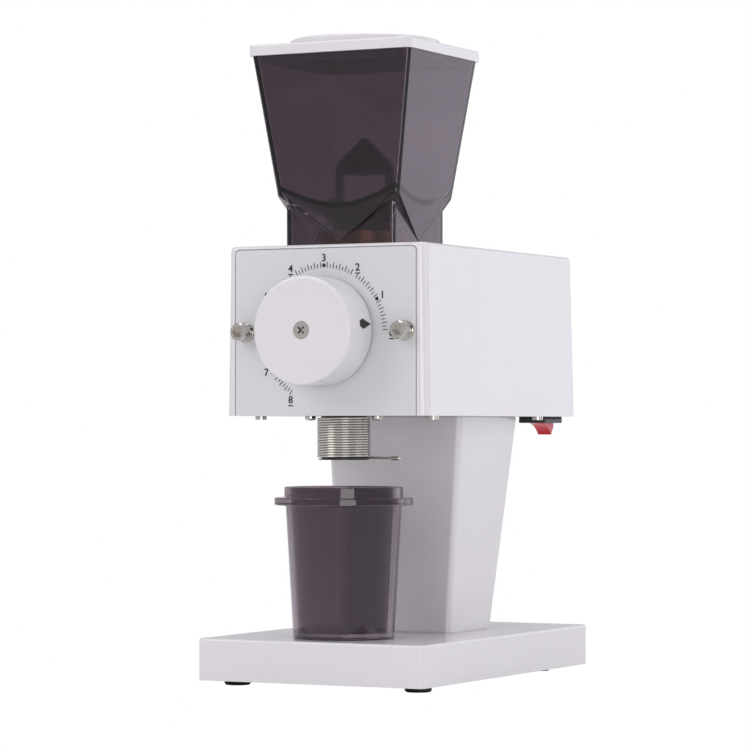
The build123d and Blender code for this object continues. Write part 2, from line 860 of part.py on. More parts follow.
# ---------------------------------------------------------------- burrs and their carrier
tooth_depth = 1.3
tooth_width = 1.5
tooth_turn = 14
carrier_radius = burr_radius + 0.5
paddle_count = 3
paddle_reach = 4.0
paddle_width = 2.6
pin_radius = 1.5
pin_depth = hub_back - 2.6
carrier_bore_front = carrier_front + 1.2
carrier_spring_wire = 0.35
carrier_spring_radius = 5.0
auger_front = cavity_back + drum_back_wall
auger_back = tunnel_back - 0.6


def toothed_ring():
    """Plan of a burr's grooves: slanting slots all round its face."""
    with BuildSketch() as grooves:
        with PolarLocations(burr_screw_circle, burr_teeth):
            Rectangle(burr_radius - burr_bore + 3.0, tooth_width, rotation=tooth_turn)
    return grooves.sketch


with BuildPart() as fixed_burr:
    with BuildSketch(axial(fixed_burr_front)):
        Circle(burr_radius)
        Circle(burr_bore, mode=Mode.SUBTRACT)
    extrude(amount=burr_thickness)
    with BuildSketch(axial(fixed_burr_front)):
        add(toothed_ring())
    extrude(amount=tooth_depth, mode=Mode.SUBTRACT)
    with Locations(facing(fixed_burr_front)):
        with PolarLocations(burr_screw_circle, burr_screw_count):
            CounterSinkHole(
                radius=burr_screw_radius + slip,
                counter_sink_radius=burr_screw_head + burr_screw_sunk + slip,
                counter_sink_angle=90,
            )
fixed_burr.part.label = "fixed_burr"
export_step(fixed_burr.part, "parts/fixed_burr.step")

with BuildPart() as fixed_burr_screws:
    with BuildSketch(axial(fixed_burr_front + burr_screw_sunk)):
        with PolarLocations(burr_screw_circle, burr_screw_count):
            Circle(burr_screw_head)
    extrude(amount=burr_screw_head - burr_screw_radius, taper=45)
    with BuildSketch(axial(fixed_burr_front + 1.0)):
        with PolarLocations(burr_screw_circle, burr_screw_count):
            Circle(burr_screw_radius)
    extrude(amount=burr_screw_length)
fixed_burr_screws.part.label = "fixed_burr_screws"
export_step(fixed_burr_screws.part, "parts/fixed_burr_screws.step")

moving_burr_back = moving_burr_front + burr_thickness
with BuildPart() as moving_burr:
    with BuildSketch(axial(moving_burr_back)):
        Circle(burr_radius)
        Circle(burr_bore, mode=Mode.SUBTRACT)
    extrude(amount=-burr_thickness)
    with BuildSketch(axial(moving_burr_back)):
        add(toothed_ring())
    extrude(amount=-tooth_depth, mode=Mode.SUBTRACT)
    with Locations(axial(moving_burr_back)):
        with PolarLocations(burr_screw_circle, burr_screw_count):
            CounterSinkHole(
                radius=burr_screw_radius + slip,
                counter_sink_radius=burr_screw_head + burr_screw_sunk + slip,
                counter_sink_angle=90,
            )
moving_burr.part.label = "moving_burr"
export_step(moving_burr.part, "parts/moving_burr.step")

with BuildPart() as moving_burr_screws:
    with BuildSketch(axial(moving_burr_back - burr_screw_sunk)):
        with PolarLocations(burr_screw_circle, burr_screw_count):
            Circle(burr_screw_head)
    extrude(amount=burr_screw_radius - burr_screw_head, taper=45)
    with BuildSketch(axial(moving_burr_back - 1.0)):
        with PolarLocations(burr_screw_circle, burr_screw_count):
            Circle(burr_screw_radius)
    extrude(amount=1.0 - burr_screw_length)
moving_burr_screws.part.label = "moving_burr_screws"
export_step(moving_burr_screws.part, "parts/moving_burr_screws.step")

with BuildPart() as burr_carrier:
    with BuildSketch(axial(carrier_front)):
        Circle(carrier_radius)
        with PolarLocations(carrier_radius + paddle_reach / 2 - 0.5, paddle_count):
            Rectangle(paddle_reach + 1.0, paddle_width)
    extrude(amount=carrier_thickness)
    with BuildSketch(axial(carrier_front)):
        Circle(carrier_hub_radius)
    extrude(amount=carrier_hub_length)
    with BuildSketch(axial(carrier_bore_front)):
        Circle(shaft_radius + running)
    extrude(amount=hub_back - carrier_bore_front, mode=Mode.SUBTRACT)
    # the drive pin rides in a slot that is open to the back
    with BuildSketch(axial(pin_depth - pin_radius - 0.3)):
        Rectangle(2 * carrier_hub_radius + 2.0, 2 * (pin_radius + running))
    extrude(amount=hub_back - pin_depth + pin_radius + 0.3, mode=Mode.SUBTRACT)
    with BuildSketch(axial(carrier_front)):
        with PolarLocations(burr_screw_circle, burr_screw_count):
            Circle(burr_screw_radius + thread_slip)
    extrude(amount=carrier_thickness, mode=Mode.SUBTRACT)
burr_carrier.part.label = "burr_carrier"
export_step(burr_carrier.part, "parts/burr_carrier.step")

with BuildPart() as carrier_spring:
    with BuildLine():
        coil = Helix(
            pitch=1.6,
            height=auger_front - hub_back - 2 * carrier_spring_wire - 0.2,
            radius=carrier_spring_radius,
            center=(0, housing_front + hub_back + carrier_spring_wire + 0.1, axis_z),
            direction=(0, 1, 0),
        )
    with BuildSketch(Plane(origin=coil @ 0, z_dir=coil % 0)):
        Circle(carrier_spring_wire)
    sweep()
carrier_spring.part.label = "carrier_spring"
export_step(carrier_spring.part, "parts/carrier_spring.step")

with BuildPart() as drive_pin:
    with BuildSketch(Plane(origin=(0, housing_front + pin_depth, axis_z), z_dir=(1, 0, 0))):
        Circle(pin_radius)
    extrude(amount=carrier_hub_radius - 0.3, both=True)
drive_pin.part.label = "drive_pin"
export_step(drive_pin.part, "parts/drive_pin.step")

with BuildPart() as feed_auger:
    with BuildLine():
        flight = Helix(
            pitch=auger_pitch,
            height=auger_back - auger_front - auger_blade - 0.4,
            radius=auger_core,
            center=(0, housing_front + auger_front + auger_blade / 2 + 0.2, axis_z),
            direction=(0, 1, 0),
        )
    flight_start = flight @ 0
    flight_out = flight_start - Vector(0, flight_start.Y, axis_z)
    with BuildSketch(Plane(origin=flight_start, x_dir=flight_out, z_dir=flight % 0)):
        with Locations(((tunnel_radius - 0.6 - auger_core) / 2 - 0.4, 0)):
            Rectangle(tunnel_radius - 0.6 - auger_core + 0.8, auger_blade)
    sweep(is_frenet=True)
    with BuildSketch(axial(auger_front)):
        Circle(auger_core)
    extrude(amount=auger_back - auger_front)
    with BuildSketch(axial(auger_front)):
        Circle(shaft_radius)
    extrude(amount=auger_back - auger_front, mode=Mode.SUBTRACT)
feed_auger.part.label = "feed_auger"
export_step(feed_auger.part, "parts/feed_auger.step")

# ---------------------------------------------------------------- motor
bell_lip = 2.0
shaft_front = carrier_bore_front + 0.4
fan_front = motor_back + 3.5
shaft_back = fan_front + fan_width + 1.0
bolt_head_radius = 2.9
bolt_head_height = 2.8
slot_inner = 22.2
slot_outer = 28.2
slot_across = 5.0
slot_lining = 0.2
slot_circle = (slot_inner + slot_outer) / 2
bearing_ball = 2.0
bearing_ball_circle = (bearing_radius + shaft_radius) / 2
bearing_ball_count = 7
race_edge = 1.3  # half the free width between the two races
bearing_fronts = (chamber_back + bell_lip, motor_back - bell_lip - bearing_width)

with BuildPart() as motor_front_bell:
    with BuildSketch(axial(chamber_back)):
        Circle(motor_radius)
    extrude(amount=bell_web + bell_rim)
    with BuildSketch(axial(chamber_back + bell_web)):
        Circle(motor_radius - bell_shell)
    extrude(amount=bell_rim, mode=Mode.SUBTRACT)
    with BuildSketch(axial(chamber_back + bell_lip)):
        Circle(bearing_radius)
    extrude(amount=bearing_width, mode=Mode.SUBTRACT)
    with BuildSketch(axial(chamber_back)):
        Circle(shaft_radius + 1.0)
    extrude(amount=bell_lip, mode=Mode.SUBTRACT)
    with BuildSketch(axial(chamber_back)):
        with PolarLocations(bolt_circle, 4, start_angle=bolt_turn):
            Circle(bolt_radius + thread_slip)
    extrude(amount=bell_web + bell_rim, mode=Mode.SUBTRACT)
motor_front_bell.part.label = "motor_front_bell"
export_step(motor_front_bell.part, "parts/motor_front_bell.step")

with BuildPart() as motor_rear_bell:
    with BuildSketch(axial(stator_back)):
        Circle(motor_radius)
    extrude(amount=bell_web + bell_rim)
    with BuildSketch(axial(stator_back)):
        Circle(motor_radius - bell_shell)
    extrude(amount=bell_rim, mode=Mode.SUBTRACT)
    with BuildSketch(axial(motor_back - bell_lip - bearing_width)):
        Circle(bearing_radius)
    extrude(amount=bearing_width, mode=Mode.SUBTRACT)
    with BuildSketch(axial(motor_back - bell_lip)):
        Circle(shaft_radius + 1.0)
    extrude(amount=bell_lip, mode=Mode.SUBTRACT)
    with BuildSketch(axial(stator_back)):
        with PolarLocations(bolt_circle, 4, start_angle=bolt_turn):
            Circle(bolt_radius + thread_slip)
    extrude(amount=bell_web + bell_rim, mode=Mode.SUBTRACT)
motor_rear_bell.part.label = "motor_rear_bell"
export_step(motor_rear_bell.part, "parts/motor_rear_bell.step")

with BuildPart() as stator_core:
    with BuildSketch(axial(stator_front)):
        Circle(motor_radius)
        Circle(stator_bore, mode=Mode.SUBTRACT)
        with PolarLocations(slot_circle, slot_count):
            Rectangle(slot_outer - slot_inner, slot_across, mode=Mode.SUBTRACT)
        with PolarLocations(bolt_circle, 4, start_angle=bolt_turn):
            Circle(bolt_radius + thread_slip, mode=Mode.SUBTRACT)
    extrude(amount=stator_length)
stator_core.part.label = "stator_core"
export_step(stator_core.part, "parts/stator_core.step")

with BuildPart() as stator_windings:
    for ring_front in (stator_front - winding_length, stator_back):
        with BuildSketch(axial(ring_front)):
            Circle(slot_outer)
            Circle(slot_inner - 1.0, mode=Mode.SUBTRACT)
        extrude(amount=winding_length)
    with BuildSketch(axial(stator_front)):
        with PolarLocations(slot_circle, slot_count):
            Rectangle(slot_outer - slot_inner - 2 * slot_lining, slot_across - 2 * slot_lining)
    extrude(amount=stator_length)
stator_windings.part.label = "stator_windings"
export_step(stator_windings.part, "parts/stator_windings.step")

with BuildPart() as rotor_core:
    with BuildSketch(axial(stator_front)):
        Circle(stator_bore - air_gap)
        Circle(shaft_radius, mode=Mode.SUBTRACT)
    extrude(amount=stator_length)
rotor_core.part.label = "rotor_core"
export_step(rotor_core.part, "parts/rotor_core.step")

with BuildPart() as motor_shaft:
    with BuildSketch(axial(shaft_front)):
        Circle(shaft_radius)
    extrude(amount=shaft_back - shaft_front)
    with BuildSketch(Plane(origin=(0, housing_front + pin_depth, axis_z), z_dir=(1, 0, 0))):
        Circle(pin_radius)
    extrude(amount=shaft_radius, both=True, mode=Mode.SUBTRACT)
motor_shaft.part.label = "motor_shaft"
export_step(motor_shaft.part, "parts/motor_shaft.step")

with BuildPart() as bearing_outer_races:
    for bearing_front in bearing_fronts:
        with BuildSketch(axial(bearing_front)):
            Circle(bearing_radius)
            Circle(bearing_ball_circle + race_edge, mode=Mode.SUBTRACT)
        extrude(amount=bearing_width)
        with Locations(axial(bearing_front + bearing_width / 2)):
            Torus(bearing_ball_circle, bearing_ball + running, mode=Mode.SUBTRACT)
bearing_outer_races.part.label = "bearing_outer_races"
export_step(bearing_outer_races.part, "parts/bearing_outer_races.step")

with BuildPart() as bearing_inner_races:
    for bearing_front in bearing_fronts:
        with BuildSketch(axial(bearing_front)):
            Circle(bearing_ball_circle - race_edge)
            Circle(shaft_radius, mode=Mode.SUBTRACT)
        extrude(amount=bearing_width)
        with Locations(axial(bearing_front + bearing_width / 2)):
            Torus(bearing_ball_circle, bearing_ball + running, mode=Mode.SUBTRACT)
bearing_inner_races.part.label = "bearing_inner_races"
export_step(bearing_inner_races.part, "parts/bearing_inner_races.step")

with BuildPart() as bearing_balls:
    for bearing_front in bearing_fronts:
        with Locations(axial(bearing_front + bearing_width / 2)):
            with PolarLocations(bearing_ball_circle, bearing_ball_count):
                Sphere(bearing_ball)
bearing_balls.part.label = "bearing_balls"
export_step(bearing_balls.part, "parts/bearing_balls.step")

with BuildPart() as motor_bolts:
    with BuildSketch(axial(motor_back)):
        with PolarLocations(bolt_circle, 4, start_angle=bolt_turn):
            Circle(bolt_head_radius)
    extrude(amount=bolt_head_height)
    with BuildSketch(axial(tunnel_back + 1.0)):
        with PolarLocations(bolt_circle, 4, start_angle=bolt_turn):
            Circle(bolt_radius)
    extrude(amount=motor_back - tunnel_back - 1.0)
    with BuildSketch(axial(motor_back + bolt_head_height - 1.4)):
        with PolarLocations(bolt_circle, 4, start_angle=bolt_turn):
            RegularPolygon(1.5, 6)
    extrude(amount=1.4, mode=Mode.SUBTRACT)
motor_bolts.part.label = "motor_bolts"
export_step(motor_bolts.part, "parts/motor_bolts.step")

with BuildPart() as cooling_fan:
    with BuildSketch(axial(fan_front)):
        Circle(fan_radius)
        Circle(shaft_radius, mode=Mode.SUBTRACT)
    extrude(amount=1.4)
    with BuildSketch(axial(fan_front)):
        Circle(shaft_radius + 3.0)
        Circle(shaft_radius, mode=Mode.SUBTRACT)
        with PolarLocations((fan_radius + shaft_radius) / 2 + 2.0, fan_blades):
            Rectangle(fan_radius - shaft_radius - 6.0, 1.5, rotation=18)
    extrude(amount=fan_width)
cooling_fan.part.label = "cooling_fan"
export_step(cooling_fan.part, "parts/cooling_fan.step")

# ---------------------------------------------------------------- motor cradle and capacitor
cradle_front = 87.0
cradle_depth = 12.0
cradle_half_width = 23.0
cradle_sheet = 1.5  # rubber between the cradle and the motor
cradle_rise = 11.5
capacitor_strap = 1.4
capacitor_gap = 0.1
capacitor_depth = 156.5
capacitor_z = floor_top + capacitor_strap + capacitor_radius + capacitor_gap
strap_width = 8.0
strap_foot = 6.0
strap_outer = capacitor_radius + capacitor_gap + capacitor_strap
floor_below_axis = axis_z - floor_top

with BuildPart() as motor_cradle:
    with BuildSketch(axial(cradle_front)):
        with Locations((0, floor_below_axis - cradle_rise / 2)):
            Rectangle(2 * cradle_half_width, cradle_rise)
        Circle(motor_radius + cradle_sheet, mode=Mode.SUBTRACT)
    extrude(amount=cradle_depth)
motor_cradle.part.label = "motor_cradle"
export_step(motor_cradle.part, "parts/motor_cradle.step")

with BuildPart() as cradle_pad:
    with BuildSketch(axial(cradle_front)):
        Circle(motor_radius + cradle_sheet)
        Circle(motor_radius, mode=Mode.SUBTRACT)
        with Locations((0, floor_below_axis - cradle_rise / 2)):
            Rectangle(2 * cradle_half_width - 2.0, cradle_rise, mode=Mode.INTERSECT)
    extrude(amount=cradle_depth)
cradle_pad.part.label = "cradle_pad"
export_step(cradle_pad.part, "parts/cradle_pad.step")

capacitor_plane = Plane(
    origin=(capacitor_x, housing_front + capacitor_depth, capacitor_z),
    x_dir=(0, 1, 0),
    z_dir=(1, 0, 0),
)
with BuildPart() as run_capacitor:
    with BuildSketch(capacitor_plane):
        Circle(capacitor_radius)
    extrude(amount=capacitor_length / 2, both=True)
    fillet(run_capacitor.edges(), 1.2)
run_capacitor.part.label = "run_capacitor"
export_step(run_capacitor.part, "parts/run_capacitor.step")

with BuildPart() as capacitor_clip:
    with BuildSketch(capacitor_plane):
        Circle(strap_outer)
        with Locations((-(strap_outer + strap_foot) / 2, capacitor_strap / 2 - strap_outer)):
            Rectangle(strap_outer + strap_foot, capacitor_strap)
        Circle(capacitor_radius + capacitor_gap, mode=Mode.SUBTRACT)
    extrude(amount=strap_width / 2, both=True)
capacitor_clip.part.label = "capacitor_clip"
export_step(capacitor_clip.part, "parts/capacitor_clip.step")

# ---------------------------------------------------------------- throat collar
with BuildPart() as throat_collar:
    with BuildSketch(Plane.XY.offset(housing_ceiling)):
        with Locations((0, hopper_y)):
            Circle(collar_radius)
            Circle(collar_bore, mode=Mode.SUBTRACT)
    extrude(amount=housing_wall + collar_stand)
    chamfer(throat_collar.edges().group_by(Axis.Z)[-1], 0.6)
throat_collar.part.label = "throat_collar"
export_step(throat_collar.part, "parts/throat_collar.step")

# ---------------------------------------------------------------- chute, its screws and its spring
chute_bottom = housing_bottom - chute_drop
chute_outer = chute_bore + chute_wall
chute_lip = 0.5
chute_lip_radius = spring_radius - 0.1
spring_gap = 0.05
coil_low = chute_bottom + chute_lip + spring_gap + spring_wire
coil_high = housing_bottom - spring_gap - spring_wire
tail_end_length = 6.0
tail_end_radius = 1.1
tail_end_bend = 25.0

with BuildPart() as chute:
    with BuildSketch(Plane.XY.offset(floor_top)):
        with Locations((0, chute_y)):
            RectangleRounded(chute_flange_width, chute_flange_depth, 4.0)
    extrude(amount=chute_flange_sheet)
    with BuildSketch(Plane.XY.offset(chute_bottom)):
        with Locations((0, chute_y)):
            Circle(chute_outer)
    extrude(amount=floor_top - chute_bottom)
    with BuildSketch(Plane.XY.offset(chute_bottom)):
        with Locations((0, chute_y)):
            Circle(chute_lip_radius)
    extrude(amount=chute_lip)
    with BuildSketch(Plane.XY.offset(chute_bottom)):
        with Locations((0, chute_y)):
            Circle(chute_bore)
    extrude(amount=port_low - chute_bottom, mode=Mode.SUBTRACT)
    with BuildSketch(Plane.XY.offset(floor_top)):
        with Locations((0, chute_y)):
            with GridLocations(2 * chute_screw_offset, 0, 2, 1):
                Circle(chute_screw_radius + thread_slip)
    extrude(amount=chute_flange_sheet, mode=Mode.SUBTRACT)
chute.part.label = "chute"
export_step(chute.part, "parts/chute.step")

with BuildPart() as chute_screws:
    with BuildSketch(Plane.XY.offset(housing_bottom - chute_head_height)):
        with Locations((0, chute_y)):
            with GridLocations(2 * chute_screw_offset, 0, 2, 1):
                Circle(chute_head_radius)
    extrude(amount=chute_head_height)
    fillet(chute_screws.edges().group_by(Axis.Z)[0], 1.0)
    with BuildSketch(Plane.XY.offset(housing_bottom)):
        with Locations((0, chute_y)):
            with GridLocations(2 * chute_screw_offset, 0, 2, 1):
                Circle(chute_screw_radius)
    extrude(amount=floor_sheet + chute_flange_sheet)
    with BuildSketch(Plane.XY.offset(housing_bottom - chute_head_height)):
        with Locations((0, chute_y)):
            with GridLocations(2 * chute_screw_offset, 0, 2, 1):
                Rectangle(2.8, 0.6)
                Rectangle(0.6, 2.8)
    extrude(amount=1.2, mode=Mode.SUBTRACT)
chute_screws.part.label = "chute_screws"
export_step(chute_screws.part, "parts/chute_screws.step")

with BuildPart() as chute_spring:
    with BuildLine():
        turns = Helix(
            pitch=(coil_high - coil_low) / spring_turns,
            height=coil_high - coil_low,
            radius=spring_radius,
            center=(0, chute_y, coil_low),
        )
        tail_root = turns @ 0
        tail_way = (turns % 0) * -1
        Line(tail_root, tail_root + tail_way * spring_tail)
    with BuildSketch(Plane(origin=tail_root + tail_way * spring_tail, z_dir=tail_way * -1)):
        Circle(spring_wire)
    sweep()
    # the tail's last stretch is folded back on itself and stands off a little
    tail_end = tail_root + tail_way * (spring_tail - 0.4)
    end_way = tail_way.rotate(Axis.Z, -tail_end_bend)
    with BuildSketch(Plane(origin=tail_end, z_dir=end_way)):
        Circle(tail_end_radius)
    extrude(amount=tail_end_length)
    tail_rims = chute_spring.edges().filter_by(GeomType.CIRCLE)
    fillet(tail_rims.sort_by_distance(tail_end + end_way * tail_end_length)[0], 0.5)
# a quarter turn brings the tail from the right of the coil to its back
spring_turned = chute_spring.part.rotate(Axis((0, chute_y, 0), (0, 0, 1)), 90)
spring_turned.label = "chute_spring"
export_step(spring_turned, "parts/chute_spring.step")

# ---------------------------------------------------------------- dosing cup
cup_rim = base_top + cup_height
cup_flange_top = cup_rim - cup_collar_height
cup_flange_low = cup_flange_top - cup_flange_height

with BuildPart() as dosing_cup:
    with BuildSketch(Plane.XZ.offset(-chute_y)):
        with BuildLine():
            Polyline(
                (0, base_top),
                (cup_body_low_radius, base_top),
                (cup_body_top_radius, cup_flange_low),
                (cup_flange_radius, cup_flange_low),
                (cup_flange_radius, cup_flange_top),
                (cup_collar_radius, cup_flange_top),
                (cup_collar_radius, cup_rim),
                (cup_body_top_radius - cup_wall + 0.3, cup_rim),
                (cup_body_low_radius - cup_wall, base_top + cup_floor),
                (0, base_top + cup_floor),
                close=True,
            )
        make_face()
    revolve(axis=Axis((0, chute_y, 0), (0, 0, 1)))
    cup_rims = dosing_cup.edges().filter_by(GeomType.CIRCLE)
    fillet(cup_rims.filter_by(lambda rim: abs(rim.radius - cup_flange_radius) < 0.01), 0.5)
    fillet(dosing_cup.edges().group_by(Axis.Z)[-1], 0.5)
    fillet(dosing_cup.edges().group_by(Axis.Z)[0], 0.9)
dosing_cup.part.label = "dosing_cup"
export_step(dosing_cup.part, "parts/dosing_cup.step")

# ---------------------------------------------------------------- hopper
neck_bottom = housing_top + gasket_thickness
body_bottom = neck_bottom + neck_height
hopper_top = body_bottom + hopper_body_height
crease_z = neck_bottom + crease_height
room_slack = 4.0  # the hollowing tools stand out past the mouths by this much
lip_z = housing_top + collar_stand + slip + funnel_drop
funnel_reach = 60.0
funnel_sheet = funnel_wall * math.sqrt(1 + funnel_slope**2)
spout_radius = collar_bore + funnel_wall


def hopper_section(height, inset):
    """The hopper's rounded square at this height, taken in by inset all round."""
    share = (height - body_bottom) / hopper_body_height
    width = between(hopper_low_width, hopper_top_width, share)
    depth = between(hopper_low_depth, hopper_top_depth, share)
    with BuildSketch(Plane.XY.offset(height)) as section:
        with Locations((0, hopper_y)):
            RectangleRounded(
                width - 2 * inset, depth - 2 * inset, max(hopper_corner - inset, 0.6)
            )
    return section.sketch


def neck_section(height, inset):
    """The neck's plan at this height, taken in by inset all round."""
    with BuildSketch(Plane.XY.offset(height)) as section:
        with Locations((0, hopper_y)):
            RectangleRounded(
                neck_width - 2 * inset, neck_depth - 2 * inset, max(hopper_corner - inset, 0.6)
            )
    return section.sketch


def crease_plane(side_x, side_y, inset):
    """Plane of the slanting corner facet between the body's corner and the neck."""
    corner = Vector(hopper_low_width / 2, hopper_low_depth / 2, body_bottom)
    face_mid = Vector(0, neck_depth / 2, crease_z)
    side_mid = Vector(neck_width / 2, 0, crease_z)
    across = (face_mid - corner).cross(side_mid - corner)
    outward = Vector(side_x * abs(across.X), side_y * abs(across.Y), -abs(across.Z)).normalized()
    place = Vector(side_x * corner.X, hopper_y + side_y * corner.Y, corner.Z) - outward * inset
    return Plane(origin=place, z_dir=outward)


def funnel_profile(start, lift):
    """Everything under a cone that rises outwards from the throat, as a half section."""
    with BuildSketch(Plane.XZ.offset(-hopper_y)) as profile:
        with BuildLine():
            Polyline(
                (start, neck_bottom - room_slack),
                (start, lip_z + lift),
                (collar_bore, lip_z + lift),
                (funnel_reach, lip_z + lift + funnel_slope * (funnel_reach - collar_bore)),
                (funnel_reach, neck_bottom - room_slack),
                close=True,
            )
        make_face()
    return profile.sketch


hopper_axis = Axis((0, hopper_y, 0), (0, 0, 1))
corners = [(x, y) for x in (-1, 1) for y in (-1, 1)]

with BuildPart() as hopper_room:
    loft([hopper_section(crease_z, hopper_wall), hopper_section(hopper_top + room_slack, hopper_wall)])
    for corner_x, corner_y in corners:
        split(bisect_by=crease_plane(corner_x, corner_y, hopper_wall), keep=Keep.BOTTOM)
    extrude(neck_section(neck_bottom - room_slack, hopper_wall), amount=neck_height + room_slack)

with BuildPart() as feed_room:
    add(hopper_room.part)
    revolve(funnel_profile(0.0, 0.0), axis=hopper_axis, mode=Mode.SUBTRACT)

with BuildPart() as under_room:
    add(hopper_room.part)
    revolve(funnel_profile(0.0, -funnel_sheet), axis=hopper_axis, mode=Mode.INTERSECT)
    with BuildSketch(Plane.XY.offset(neck_bottom - room_slack)):
        with Locations((0, hopper_y)):
            Circle(spout_radius)
    extrude(amount=neck_height + room_slack, mode=Mode.SUBTRACT)

with BuildPart() as hopper:
    loft([hopper_section(crease_z, 0), hopper_section(hopper_top, 0)])
    for corner_x, corner_y in corners:
        split(bisect_by=crease_plane(corner_x, corner_y, 0), keep=Keep.BOTTOM)
    extrude(neck_section(neck_bottom, 0), amount=neck_height)
    add(feed_room.part, mode=Mode.SUBTRACT)
    add(under_room.part, mode=Mode.SUBTRACT)
    with BuildSketch(Plane.XY.offset(neck_bottom)):
        with Locations((0, hopper_y)):
            Circle(spout_radius + 0.5)
    extrude(amount=lip_z - funnel_drop - neck_bottom, mode=Mode.SUBTRACT)
    with BuildSketch(Plane.XY.offset(neck_bottom)):
        with Locations((0, hopper_y)):
            Circle(collar_bore)
    extrude(amount=lip_z + 1.0 - neck_bottom, mode=Mode.SUBTRACT)
hopper.part.label = "hopper"
export_step(hopper.part, "parts/hopper.step")

with BuildPart() as hopper_gasket:
    extrude(neck_section(housing_top, -0.3), amount=gasket_thickness)
    extrude(neck_section(housing_top, hopper_wall), amount=gasket_thickness, mode=Mode.SUBTRACT)
hopper_gasket.part.label = "hopper_gasket"
export_step(hopper_gasket.part, "parts/hopper_gasket.step")

guard_low = lip_z + guard_lift
guard_shoulder = guard_low + guard_skirt
guard_foot = lip_z + funnel_slope * (guard_radius + guard_leg_thickness - collar_bore) + 0.05
guard_peak = 1.5  # radius of the flat on top
guard_inner = guard_radius - guard_wall

with BuildPart() as hopper_guard:
    with BuildSketch(Plane.XY.offset(guard_low)):
        with Locations((0, hopper_y)):
            Circle(guard_radius)
    extrude(amount=guard_skirt)
    with Locations((0, hopper_y, guard_shoulder)):
        Cone(
            guard_radius,
            guard_peak,
            guard_rise,
            align=(Align.CENTER, Align.CENTER, Align.MIN),
        )
    with BuildSketch(Plane.XY.offset(guard_foot)):
        with Locations((0, hopper_y)):
            with GridLocations(2 * guard_radius, 0, 2, 1):
                Rectangle(2 * guard_leg_thickness, guard_leg_width)
    extrude(amount=guard_low + guard_skirt / 2 - guard_foot)
    with BuildSketch(Plane.XY.offset(guard_foot)):
        with Locations((0, hopper_y)):
            Circle(guard_inner)
    extrude(amount=guard_shoulder - guard_foot, mode=Mode.SUBTRACT)
    with Locations((0, hopper_y, guard_shoulder)):
        Cone(
            guard_inner,
            guard_peak / 2,
            guard_rise - guard_wall,
            align=(Align.CENTER, Align.CENTER, Align.MIN),
            mode=Mode.SUBTRACT,
        )
hopper_guard.part.label = "hopper_guard"
export_step(hopper_guard.part, "parts/hopper_guard.step")

# ---------------------------------------------------------------- lid
lid_top = hopper_top + lid_thickness
skirt_gap = 0.3
skirt_share = lid_skirt_drop / hopper_body_height
mouth_width = between(hopper_top_width, hopper_low_width, skirt_share) - 2 * hopper_wall
mouth_depth = between(hopper_top_depth, hopper_low_depth, skirt_share) - 2 * hopper_wall
skirt_width = mouth_width - 2 * skirt_gap
skirt_depth = mouth_depth - 2 * skirt_gap

with BuildPart() as lid:
    with BuildSketch(Plane.XY.offset(hopper_top)):
        with Locations((0, hopper_y)):
            RectangleRounded(lid_width, lid_depth, lid_corner)
    extrude(amount=lid_thickness)
    fillet(lid.faces().sort_by(Axis.Z)[-1].edges(), lid_edge)
    with BuildSketch(Plane.XY.offset(lid_top)):
        with Locations((0, hopper_y)):
            Circle(lid_disc_radius)
    extrude(amount=lid_disc_height)
    fillet(lid.edges().group_by(Axis.Z)[-1], lid_edge)
    with BuildSketch(Plane.XY.offset(hopper_top)):
        with Locations((0, hopper_y)):
            RectangleRounded(skirt_width, skirt_depth, hopper_corner)
    extrude(amount=-lid_skirt_drop)
    with BuildSketch(Plane.XY.offset(hopper_top - lid_skirt_drop)):
        with Locations((0, hopper_y)):
            RectangleRounded(skirt_width - 2 * lid_wall, skirt_depth - 2 * lid_wall, 1.0)
    extrude(amount=lid_skirt_drop + lid_thickness - lid_wall, mode=Mode.SUBTRACT)
    with BuildSketch(Plane.XY.offset(lid_top - lid_wall)):
        with Locations((0, hopper_y)):
            Circle(min(lid_disc_radius, skirt_depth / 2) - lid_wall)
    extrude(amount=lid_disc_height, mode=Mode.SUBTRACT)
lid.part.label = "lid"
export_step(lid.part, "parts/lid.step")

# ---------------------------------------------------------------- rocker switch
gasket_low = housing_bottom - switch_gasket_thickness
bezel_face = gasket_low - bezel_thickness
pivot_z = bezel_face + rocker_pivot_height
spade_width = 6.3
spade_sheet = 0.8
spade_length = 8.0
spade_offset = 5.0
spade_seat = 2.0
body_top = gasket_low + switch_body_height
rocker_axis = Plane(origin=(switch_x, switch_y, pivot_z), x_dir=(0, 1, 0), z_dir=(1, 0, 0))
rocker_lean = math.radians(rocker_tilt)
rocker_plane = Plane(
    origin=(switch_x, switch_y, pivot_z),
    x_dir=(0, math.cos(rocker_lean), -math.sin(rocker_lean)),
    z_dir=(1, 0, 0),
)

with BuildPart() as switch_gasket:
    with BuildSketch(Plane.XY.offset(gasket_low)):
        with Locations((switch_x, switch_y)):
            Rectangle(bezel_width - 0.6, bezel_length - 0.4)
            Rectangle(
                switch_body_width + slip, switch_body_length + slip, mode=Mode.SUBTRACT
            )
    extrude(amount=switch_gasket_thickness)
switch_gasket.part.label = "switch_gasket"
export_step(switch_gasket.part, "parts/switch_gasket.step")

